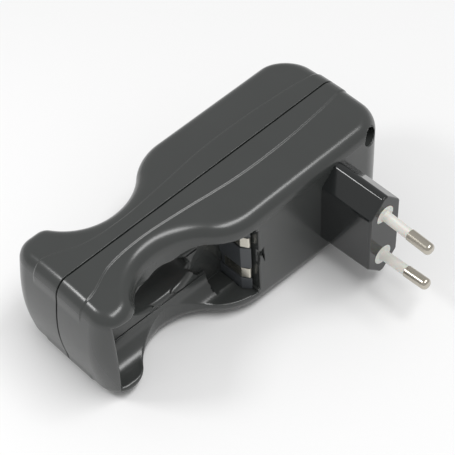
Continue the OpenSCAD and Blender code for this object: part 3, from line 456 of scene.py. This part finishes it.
def surfaceMesh(f, xs, ys, zs):
    X, Y, Z = np.meshgrid(xs, ys, zs, indexing="ij")
    F = f(X, followStyle(X, Y), Z)
    inside = F < 0
    cells = [inside[i:inside.shape[0] - 1 + i, j:inside.shape[1] - 1 + j, k:inside.shape[2] - 1 + k]
             for i in (0, 1) for j in (0, 1) for k in (0, 1)]
    count = sum(c.astype(np.int8) for c in cells)
    active = (count > 0) & (count < 8)
    ids = -np.ones(active.shape, dtype=np.int64)
    I, J, K = np.nonzero(active)
    ids[I, J, K] = np.arange(len(I))
    total = np.zeros((len(I), 3))
    hits = np.zeros(len(I))
    corners = [(i, j, k) for i in (0, 1) for j in (0, 1) for k in (0, 1)]
    for a in corners:
        for axis in range(3):
            if a[axis]:
                continue
            b = list(a)
            b[axis] = 1
            fa, fb = F[I + a[0], J + a[1], K + a[2]], F[I + b[0], J + b[1], K + b[2]]
            cross = (fa < 0) != (fb < 0)
            t = np.where(cross, fa / np.where(cross, fa - fb, 1), 0)
            pa = np.stack([xs[I + a[0]], ys[J + a[1]], zs[K + a[2]]], 1)
            pb = np.stack([xs[I + b[0]], ys[J + b[1]], zs[K + b[2]]], 1)
            total += np.where(cross[:, None], pa + (pb - pa) * t[:, None], 0)
            hits += cross
    points = total / hits[:, None]
    points[:, 1] = followStyle(points[:, 0], points[:, 1])
    quads = []
    for axis in range(3):
        u, v = [(1, 2), (2, 0), (0, 1)][axis]
        lo = [slice(None)] * 3
        hi = [slice(None)] * 3
        lo[axis], hi[axis] = slice(0, -1), slice(1, None)
        a, b = inside[tuple(lo)], inside[tuple(hi)]
        change = a != b
        index = np.array(np.nonzero(change))
        ok = np.ones(index.shape[1], bool)
        for w in (u, v):
            ok &= (index[w] > 0) & (index[w] < F.shape[w] - 1)
        index = index[:, ok]
        ring = []
        for du, dv in ((-1, -1), (0, -1), (0, 0), (-1, 0)):
            cell = index.copy()
            cell[u] += du
            cell[v] += dv
            ring.append(ids[cell[0], cell[1], cell[2]])
        ring = np.stack(ring, 1)
        outward = a[tuple(index)]
        quads.append(np.where(outward[:, None], ring, ring[:, ::-1]))
    quads = np.concatenate(quads)

    def gradient(p):
        h = 0.02
        g = []
        for axis in range(3):
            d = np.zeros(3)
            d[axis] = h
            q1, q2 = p + d, p - d
            g.append((f(q1[:, 0], q1[:, 1], q1[:, 2]) - f(q2[:, 0], q2[:, 1], q2[:, 2])) / (2 * h))
        return np.stack(g, 1)
    for _ in range(4):
        value = f(points[:, 0], points[:, 1], points[:, 2])
        g = gradient(points)
        step = value[:, None] * g / np.maximum((g * g).sum(1), 0.25)[:, None]
        length = np.linalg.norm(step, axis=1)
        points = points - step * np.minimum(1, 0.25 / np.maximum(length, 1e-9))[:, None]
    g = gradient(points)
    return points, quads, g / np.maximum(np.linalg.norm(g, axis=1), 1e-9)[:, None]


def buildShell(name, node, rear):
    fine = 0.6
    # finer stops at the ends, the contacts, the plug's window, the seam and the style line
    xs = gridLine([(-98.2, -94.6, 0.3), (-94.6, -90.2, 0.4), (-90.2, -54, fine), (-54, -44, 0.5),
                   (-44, -39, 0.5), (-39, -32.2, 0.25), (-32.2, -9, fine * 1.3), (-9, -6.4, 0.3),
                   (-6.4, 6.4, fine * 1.3), (6.4, 9, 0.3), (9, 19, fine * 0.8), (19, 24.6, 0.4)])
    ys = gridLine([(0.03, 0.43, 0.08), (0.43, 0.9, 0.157), (0.9, 4.4, 0.5), (4.4, 7.0, 0.26),
                   (7.0, 8.2, 0.12), (8.2, 12.6, 0.2), (12.6, 20, 0.6), (20, 25.2, 0.4)])
    zSide = gridLine([(0, 2.6, 0.35), (2.6, 5.4, 0.3), (5.4, 6.2, 0.4), (6.2, 7.4, 0.18), (7.4, 16.4, 0.5),
                      (16.4, 25.2, 0.5)])
    zs = np.concatenate([-zSide[:0:-1], zSide])
    points, quads, normals = surfaceMesh(shellSolid(rear), xs, ys, zs)
    side = -1 if rear else 1
    points[:, 1] *= side
    normals[:, 1] *= side
    if rear:
        quads = quads[:, ::-1]
    obj = meshObject(name, toRow(points), quads.tolist())
    obj.data.normals_split_custom_set_from_vertices([tuple(n) for n in (normals @ turnToRow.T)])
    print(name, len(points), "points", len(quads), "faces")
    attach(obj, "root")
    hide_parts(node)
    return obj


rearShell = buildShell("rearShell", "rear_shell", True)
frontShell = buildShell("frontShell", "front_shell", False)


# Plug block
def buildPlugBlock():
    p = plugSizes
    faceY = -caseSizes["mainDepth"]
    levels = [(plugFaceY, 0.0), (faceY, p["draft"]), (faceY + p["inset"], p["draft"])]
    verts, faces = [], []
    for y, grow in levels:
        x, z, cut = p["blockX"] + grow, p["blockZ"] + grow, p["cut"] + grow * p["cutGrowth"]
        ring = [(x, z - cut), (x - cut, z), (-x + cut, z), (-x, z - cut), (-x, -z + cut), (-x + cut, -z),
                (x - cut, -z), (x, -z + cut)]
        verts += [(a, y, b) for a, b in ring]
    faces.append(list(range(8)))
    for row in range(len(levels) - 1):
        for k in range(8):
            j = (k + 1) % 8
            faces.append([row * 8 + k, row * 8 + j, row * 8 + 8 + j, row * 8 + 8 + k])
    faces.append([len(verts) - 1 - k for k in range(8)])
    obj = meshObject("plugBlock", toRow(verts), faces)
    tidyNormals(obj)
    addBevel(obj, p["edge"], 4, 20)
    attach(obj, "root")
    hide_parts("plug_block")
    return obj


plugBlock = buildPlugBlock()


# Pins and sleeves
def lathe(name, profile, side, steps=64):
    # turns a profile of (radius, height) round a pin's leaning axis
    verts, faces = [], []
    for r, h in profile:
        for k in range(steps):
            a = 2 * math.pi * k / steps
            verts.append((r * math.cos(a), r * math.sin(a), h))
    rows = len(profile)
    for i in range(rows - 1):
        for k in range(steps):
            j = (k + 1) % steps
            faces.append([i * steps + k, i * steps + j, (i + 1) * steps + j, (i + 1) * steps + k])
    v = np.array(verts)
    lean = side * pinLean if side < 0 else pinLean + plugSizes["upperBend"]
    flat = np.stack([v[:, 0], -v[:, 2], v[:, 1]], 1)
    cl, sl = math.cos(lean), math.sin(lean)
    turned = np.stack([flat[:, 0], flat[:, 1] * cl - flat[:, 2] * sl, flat[:, 1] * sl + flat[:, 2] * cl], 1)
    turned += np.array([0, plugFaceY, side * plugSizes["pitch"] / 2])
    obj = meshObject(name, toRow(turned), faces)
    tidyNormals(obj)
    return obj


def arcRun(cr, ch, r, a0, a1, n):
    return [(cr + r * math.cos(math.radians(a0 + (a1 - a0) * k / n)),
             ch + r * math.sin(math.radians(a0 + (a1 - a0) * k / n))) for k in range(n + 1)]


def buildPins():
    p = plugSizes
    R, core, L, S = p["pinD"] / 2, p["coreD"] / 2, p["pinLen"], p["sleeveLen"]
    inner, foot, gap, ease = p["pinIn"], S + p["fitGap"], p["fitGap"] / 2, p["pinEase"]
    # the rings at the tip and the inner end stay a hair off the axis
    hair = 0.0001
    dome = []
    for angle in range(0, 91, 15):
        a = math.radians(angle)
        dome.append((p["tipR"] + (R - p["tipR"]) * math.cos(a), L - p["tipH"] + p["tipH"] * math.sin(a)))
    pinProfile = [(hair, -inner), (core, -inner), (core, foot), (R - ease, foot), (R, foot + ease),
                  (R, L - p["tipH"] - 0.15)] + dome + [(hair, L)]
    F, B, T, inset = p["flangeD"] / 2, p["sleeveD"] / 2, p["flangeT"], p["sleeveIn"]
    bore = core + gap
    flangeEdge = arcRun(F - 0.12, -0.02, 0.12, 0, 90, 3)
    sleeveProfile = [(bore, -inset), (B, -inset), (B, -T), (F, -T), (F, -0.02)] + flangeEdge \
        + [(B + 0.5, 0.14), (B + 0.18, 0.26), (B, 0.6), (B, S - 0.15), (B - 0.1, S), (bore, S)]
    out = []
    for side, word in ((1, "upper"), (-1, "lower")):
        metal = lathe("pin" + word.capitalize(), pinProfile, side)
        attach(metal, "root")
        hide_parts("pin_" + word)
        sleeve = lathe("sleeve" + word.capitalize(), sleeveProfile, side)
        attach(sleeve, "root")
        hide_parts("sleeve_" + word)
        for o in (metal, sleeve):
            o.data.set_sharp_from_angle(angle=math.radians(40))
        out.append((metal, sleeve))
    return out


pinPairs = buildPins()


# Contacts and their holders
contactSizes = {
    "stripT": 0.4, "stripW": 4.2, "bendR": 0.35, "lift": 0.02, "stripEdge": 0.08,
    "leadIn": 2.6, "leadDrop": 2.6, "channel": 0.7, "channelSide": 0.5, "holderEdge": 0.18,
    "boardY": 0.82, "boardX": -26.0, "wireY": 0.62, "wireRun": 5.0, "wallGap": 0.1,
}
# bends of the end contact: how far each stands off the end wall and over the bay floor
endBends = [(0.1, 1.6), (1.5, 4.2), (0.5, 6.4)]


def prism(name, outline, z0, z1, mirrorY):
    # outline in the plane of X and Y, drawn out along Z
    s = -1 if mirrorY else 1
    n = len(outline)
    verts = [(x, s * y, z0) for x, y in outline] + [(x, s * y, z1) for x, y in outline]
    faces = [list(range(n)), list(range(2 * n - 1, n - 1, -1))]
    faces += [[k, (k + 1) % n, n + (k + 1) % n, n + k] for k in range(n)]
    obj = meshObject(name, toRow(verts), faces)
    tidyNormals(obj)
    return obj


# A bent contact strip follows a path: this tree rounds the path's bends and draws the
# strip's flat section along it.
def makeStripTree():
    tree = bpy.data.node_groups.new("stripAlongPath", "GeometryNodeTree")
    face = tree.interface
    face.new_socket("Path", in_out="INPUT", socket_type="NodeSocketGeometry")
    for label in ("Strip Width", "Strip Thickness", "Bend Radius"):
        face.new_socket(label, in_out="INPUT", socket_type="NodeSocketFloat")
    face.new_socket("Metal", in_out="INPUT", socket_type="NodeSocketMaterial")
    face.new_socket("Strip", in_out="OUTPUT", socket_type="NodeSocketGeometry")
    given = addNode(tree, "NodeGroupInput")
    curve = addNode(tree, "GeometryNodeMeshToCurve", {}, {"Mesh": given.outputs["Path"]})
    bends = addNode(tree, "GeometryNodeFilletCurve", {"mode": "POLY", "Count": 4, "Limit Radius": True},
                    {"Curve": curve.outputs["Curve"], "Radius": given.outputs["Bend Radius"]})
    upright = addNode(tree, "GeometryNodeSetCurveNormal", {"mode": "Z_UP"}, {"Curve": bends.outputs["Curve"]})
    section = addNode(tree, "GeometryNodeCurvePrimitiveQuadrilateral", {"mode": "RECTANGLE"},
                      {"Width": given.outputs["Strip Thickness"], "Height": given.outputs["Strip Width"]})
    body = addNode(tree, "GeometryNodeCurveToMesh", {"Fill Caps": True},
                   {"Curve": upright.outputs["Curve"], "Profile Curve": section.outputs["Curve"]})
    real = addNode(tree, "GeometryNodeRealizeInstances", {}, {"Geometry": body.outputs["Mesh"]})
    coat = addNode(tree, "GeometryNodeSetMaterial", {}, {"Geometry": real.outputs["Geometry"],
                                                         "Material": given.outputs["Metal"]})
    done = addNode(tree, "NodeGroupOutput")
    tree.links.new(coat.outputs["Geometry"], done.inputs["Strip"])
    return tree


def stripAlong(name, tree, path, thick, z, mirrorY, metal):
    p = np.array(path, float)
    d = np.diff(p, axis=0)
    d /= np.linalg.norm(d, axis=1)[:, None]
    normal = np.stack([-d[:, 1], d[:, 0]], 1)
    middle = []
    for k in range(len(p)):
        a, b = normal[max(k - 1, 0)], normal[min(k, len(normal) - 1)]
        middle.append(p[k] + (a + b) * thick / 2 / (1 + a @ b))
    s = -1 if mirrorY else 1
    mesh = bpy.data.meshes.new(name)
    mesh.from_pydata([tuple(v) for v in toRow([(x, s * y, z) for x, y in middle])],
                     [(k, k + 1) for k in range(len(middle) - 1)], [])
    obj = bpy.data.objects.new(name, mesh)
    bpy.context.collection.objects.link(obj)
    mod = obj.modifiers.new("strip", "NODES")
    mod.node_group = tree
    values = {"Strip Width": contactSizes["stripW"] / 1000, "Strip Thickness": abs(thick) / 1000,
              "Bend Radius": contactSizes["bendR"] / 1000, "Metal": metal}
    for socket in tree.interface.items_tree:
        if socket.in_out == "INPUT" and socket.name in values:
            mod[socket.identifier] = values[socket.name]
    deps = bpy.context.evaluated_depsgraph_get()
    solid = bpy.data.meshes.new_from_object(obj.evaluated_get(deps))
    obj.modifiers.clear()
    obj.data = solid
    tidyNormals(obj)
    return obj


def applyCut(obj, cutters):
    for cutter in cutters:
        mod = obj.modifiers.new("cut", "BOOLEAN")
        mod.operation = "DIFFERENCE"
        mod.solver = "EXACT"
        mod.object = cutter
    deps = bpy.context.evaluated_depsgraph_get()
    mesh = bpy.data.meshes.new_from_object(obj.evaluated_get(deps))
    obj.modifiers.clear()
    obj.data = mesh
    for cutter in cutters:
        bpy.data.objects.remove(cutter)


def buildContacts():
    b, s, c = baySizes, contactSizes, caseSizes
    x0, T, ch = b["contactX"], b["holderT"], s["channel"]
    top = c["mainDepth"] - s["leadDrop"]
    base, lift, slant = b["recessY"], s["lift"], top - s["leadIn"] - ch * 0.4
    holderOutline = [(x0, base), (x0 + T, base), (x0 + T, top), (x0 + T - 0.3, top), (x0, top - s["leadIn"])]
    channelOutline = [(x0 - 1, base - 1), (x0 + ch, base - 1), (x0 + ch, slant), (x0 + T - 0.5, top - ch),
                      (x0 + T + 1, top - ch), (x0 + T + 1, top + 1), (x0 - 1, top + 1)]
    plusPath = [(x0 + ch - lift, base + 2), (x0 + ch - lift, slant + 2 * lift),
                (x0 + T - 0.5, top - ch + lift), (x0 + T + lift, top - ch + lift),
                (x0 + T + lift, s["boardY"]), (s["boardX"], s["boardY"])]
    endX = b["endX"]
    endPath = [(endX + s["wireRun"], s["wireY"]), (endX + s["wallGap"], s["wireY"])]
    endPath += [(endX + off, b["floorY"] + rise) for off, rise in endBends]
    holders, strips, stripTree = [], [], makeStripTree()
    for word, flip in (("rear", True), ("front", False)):
        holder = prism(word + "ContactHolder", holderOutline, -b["holderZ"], b["holderZ"], flip)
        halfChannel = s["stripW"] / 2 + s["channelSide"]
        cutters = [prism("cutter", channelOutline, sgn * b["cellZ"] - halfChannel,
                         sgn * b["cellZ"] + halfChannel, flip) for sgn in (-1, 1)]
        applyCut(holder, cutters)
        addBevel(holder, s["holderEdge"], 2, 30)
        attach(holder, "root")
        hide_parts(word + "_contact_holder")
        holders.append(holder)
        for sgn, level in ((1, "upper"), (-1, "lower")):
            for kind, path, thick in (("plus", plusPath, s["stripT"]), ("end", endPath, -s["stripT"])):
                strip = stripAlong(word + kind.capitalize() + "Contact" + level.capitalize(), stripTree, path,
                                   thick, sgn * b["cellZ"], flip, nickelStrip)
                addBevel(strip, s["stripEdge"], 2, 50)
                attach(strip, "root")
                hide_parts("%s_%s_contact_%s" % (word, kind, level))
                strips.append(strip)
    return holders, strips


contactHolders, contactStrips = buildContacts()
print("plug, pins and contacts built")


def dress(obj, mat):
    obj.data.materials.clear()
    obj.data.materials.append(mat)


for obj in (rearShell, frontShell):
    dress(obj, satinAbs)
dress(plugBlock, polishedBlock)
for metal, sleeve in pinPairs:
    dress(metal, nickelPin)
    dress(sleeve, whiteSleeve)
for obj in contactHolders:
    dress(obj, greyHolder)
for obj in contactStrips:
    dress(obj, nickelStrip)
for nodeName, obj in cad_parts.items():
    for start, mat in insideMaterials.items():
        if nodeName.startswith(start):
            for slot in obj.material_slots:
                slot.material = mat
print("materials set")

# Camera, floor and light
# the camera is fitted to the photograph and given in the case's axes, with its focal length
# and the photograph's width in pixels, and the sensor's width in millimetres
view = {"azimuth": -41.147, "elevation": 48.770, "roll": -3.417, "distance": 418.29,
        "target": (-47.785, -24.35, 26.88), "focal": 1424.3, "photoWidth": 455, "sensor": 36}


def buildCamera():
    a, e, r = (math.radians(view[k]) for k in ("azimuth", "elevation", "roll"))
    back = np.array([math.sin(a) * math.cos(e), -math.cos(a) * math.cos(e), math.sin(e)])
    right = np.array([math.cos(a), math.sin(a), 0])
    up = np.cross(back, right)
    right, up = math.cos(r) * right + math.sin(r) * up, -math.sin(r) * right + math.cos(r) * up
    place = toRow(np.array(view["target"]) + back * view["distance"])
    axes = [turnToRow @ v for v in (right, up, back)]
    cam = bpy.data.cameras.new("camera")
    cam.lens = view["focal"] * view["sensor"] / view["photoWidth"]
    cam.sensor_width = view["sensor"]
    cam.clip_start, cam.clip_end = 0.01, 20
    obj = bpy.data.objects.new("camera", cam)
    bpy.context.collection.objects.link(obj)
    m = Matrix.Identity(4)
    for col, axis in enumerate(axes):
        for row in range(3):
            m[row][col] = axis[row]
    for row in range(3):
        m[row][3] = place[row]
    obj.matrix_world = m
    bpy.context.scene.camera = obj


buildCamera()


# half the floor's side in metres, its paper white and the brightness of the light tent round it
roomValues = {"floorHalf": 3, "paper": "#f4f4f4", "tent": 0.53}


def buildFloor():
    h = roomValues["floorHalf"]
    obj = meshObject("floor", [(-h, -h, 0), (h, -h, 0), (h, h, 0), (-h, h, 0)], [(0, 1, 2, 3)], False)
    mat = bpy.data.materials.new("paperFloor")
    mat.use_nodes = True
    tree = mat.node_tree
    shader = tree.nodes["Principled BSDF"]
    shader.inputs["Roughness"].default_value = 0.9
    shader.inputs["Specular IOR Level"].default_value = 0.0
    shader.inputs["Base Color"].default_value = linear(roomValues["paper"])
    dress(obj, mat)


buildFloor()

lampTable = {
    # name: (direction of its middle, metres from the target, width, height, brightness, target in metres)
    # the overhead softbox draws the long soft light along the ridges of the case
    "overheadSoftbox": ((0.10, -0.30, 0.88), 1.0, 0.85, 0.26, 8.0, (0.0, 0.0, 0.04)),
    # a small softbox over the bay end draws its corner and the plug block's ridge
    "smallSoftbox": ((-0.42, 0.5, 0.70), 0.4, 0.09, 0.09, 15.0, (-0.055, -0.022, 0.035)),
}


def buildLamps():
    for name, (direction, distance, across, up, bright, target) in lampTable.items():
        data = bpy.data.lights.new(name, "AREA")
        data.shape = "RECTANGLE"
        data.size, data.size_y = across, up
        data.energy = bright * math.pi * across * up
        obj = bpy.data.objects.new(name, data)
        bpy.context.collection.objects.link(obj)
        d = Vector(direction).normalized()
        obj.location = Vector(target) + d * distance
        obj.rotation_euler = d.to_track_quat("Z", "Y").to_euler()
    world = bpy.data.worlds.new("lightTent")
    bpy.context.scene.world = world
    world.use_nodes = True
    world.node_tree.nodes["Background"].inputs["Color"].default_value = (1, 1, 1, 1)
    world.node_tree.nodes["Background"].inputs["Strength"].default_value = roomValues["tent"]


buildLamps()
bpy.context.scene.view_settings.view_transform = "Standard"
print("camera, floor and lamps set")
